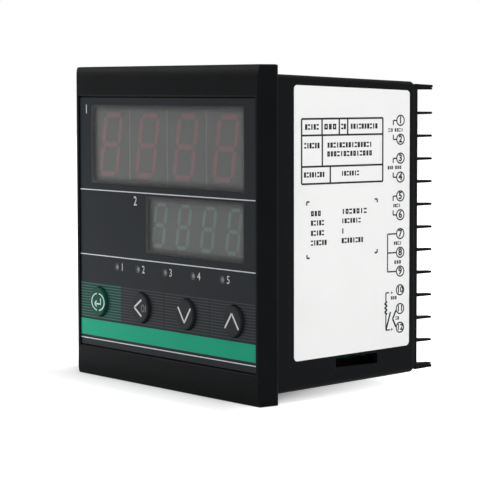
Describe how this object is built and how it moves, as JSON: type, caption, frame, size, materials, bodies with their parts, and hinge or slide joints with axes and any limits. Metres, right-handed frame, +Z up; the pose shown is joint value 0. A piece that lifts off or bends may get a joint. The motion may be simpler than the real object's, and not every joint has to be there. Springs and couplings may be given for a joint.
{
  "type": "pid temperature controller",
  "caption": "Square panel-mounted temperature controller with two digit displays, push keys, a tapered case and barrier terminals at the rear.",
  "frame": {"origin": "centre of the panel cut-out, in the plane of the bezel's rear face that seats on the panel", "axes": "+X to the right seen from the front, +Y into the panel towards the terminals, +Z up"},
  "size_m": [0.096, 0.0692, 0.096],
  "materials": {
    "frame_plastic": "fine moulded grain",
    "case_plastic": "fine moulded grain",
    "base_plastic": "satin moulding",
    "printed_film": "satin film with printed bands, lines and stripes",
    "label_stock": "white label with printed lines",
    "smoked_window": "smoked clear plate",
    "digit_housing": "grey moulded face",
    "red_segments": "unlit red-tinted segments",
    "green_segments": "unlit green-tinted segments",
    "circuit_board": "green laminate",
    "zinc_steel": "zinc-plated",
    "core_steel": "stamped laminations",
    "white_nylon": "moulded bobbin",
    "copper_wire": "enamelled winding",
    "relay_housing": "sealed blue housing",
    "capacitor_sleeve": "shrink sleeve",
    "bare_aluminium": "bent sheet",
    "chip_resin": "moulded resin",
    "crystal_can": "drawn can",
    "plated_brass": "plated",
    "green_key": "satin cap with a printed ring",
    "dark_key": "satin cap with a printed arrow",
    "lamp_lens": "diffuse unlit lens",
    "switch_plastic": "moulded"
  },
  "bodies": {
    "housing": {"alm1_lamp": "lamp_lens", "alm2_lamp": "lamp_lens", "at_lamp": "lamp_lens", "board_screws": "zinc_steel", "case": "case_plastic", "clamp_washers_left": "zinc_steel", "clamp_washers_right": "zinc_steel", "contacts_left": "plated_brass", "contacts_right": "plated_brass", "crystal": "crystal_can", "display_board": "circuit_board", "down_switch_body": "switch_plastic", "filter_capacitor": "capacitor_sleeve", "front_bezel": "frame_plastic", "heat_sink": "bare_aluminium", "input_amplifier": "chip_resin", "logic_capacitor": "capacitor_sleeve", "main_board": "circuit_board", "microcontroller": "chip_resin", "out1_lamp": "lamp_lens", "out2_lamp": "lamp_lens", "overlay_film": "printed_film", "power_board": "circuit_board", "pv_digit_1": "digit_housing", "pv_digit_2": "digit_housing", "pv_digit_3": "digit_housing", "pv_digit_4": "digit_housing", "pv_segments_1": "red_segments", "pv_segments_2": "red_segments", "pv_segments_3": "red_segments", "pv_segments_4": "red_segments", "pv_window": "smoked_window", "rectifier": "chip_resin", "regulator": "chip_resin", "relay_alm1": "relay_housing", "relay_alm2": "relay_housing", "relay_out1": "relay_housing", "set_switch_body": "switch_plastic", "shift_switch_body": "switch_plastic", "side_label": "label_stock", "sv_display": "digit_housing", "sv_segments": "green_segments", "sv_window": "smoked_window", "switch_domes": "zinc_steel", "terminal_base": "base_plastic", "terminal_screws_left": "zinc_steel", "terminal_screws_right": "zinc_steel", "transformer_bobbin": "white_nylon", "transformer_core": "core_steel", "transformer_winding": "copper_wire", "up_switch_body": "switch_plastic"},
    "set_button": {"set_key": "green_key", "set_switch_plunger": "switch_plastic"},
    "shift_button": {"shift_key": "dark_key", "shift_switch_plunger": "switch_plastic"},
    "down_button": {"down_key": "dark_key", "down_switch_plunger": "switch_plastic"},
    "up_button": {"up_key": "dark_key", "up_switch_plunger": "switch_plastic"}
  },
  "joints": [
    {"name": "set_press", "type": "slide", "parent": "housing", "child": "set_button", "axis": [0, 1, 0], "range_m": [0, 0.0005], "stiffness_N_per_m": 1500, "springref_m": -0.0004},
    {"name": "shift_press", "type": "slide", "parent": "housing", "child": "shift_button", "axis": [0, 1, 0], "range_m": [0, 0.0005], "stiffness_N_per_m": 1500, "springref_m": -0.0004},
    {"name": "down_press", "type": "slide", "parent": "housing", "child": "down_button", "axis": [0, 1, 0], "range_m": [0, 0.0005], "stiffness_N_per_m": 1500, "springref_m": -0.0004},
    {"name": "up_press", "type": "slide", "parent": "housing", "child": "up_button", "axis": [0, 1, 0], "range_m": [0, 0.0005], "stiffness_N_per_m": 1500, "springref_m": -0.0004}
  ]
}
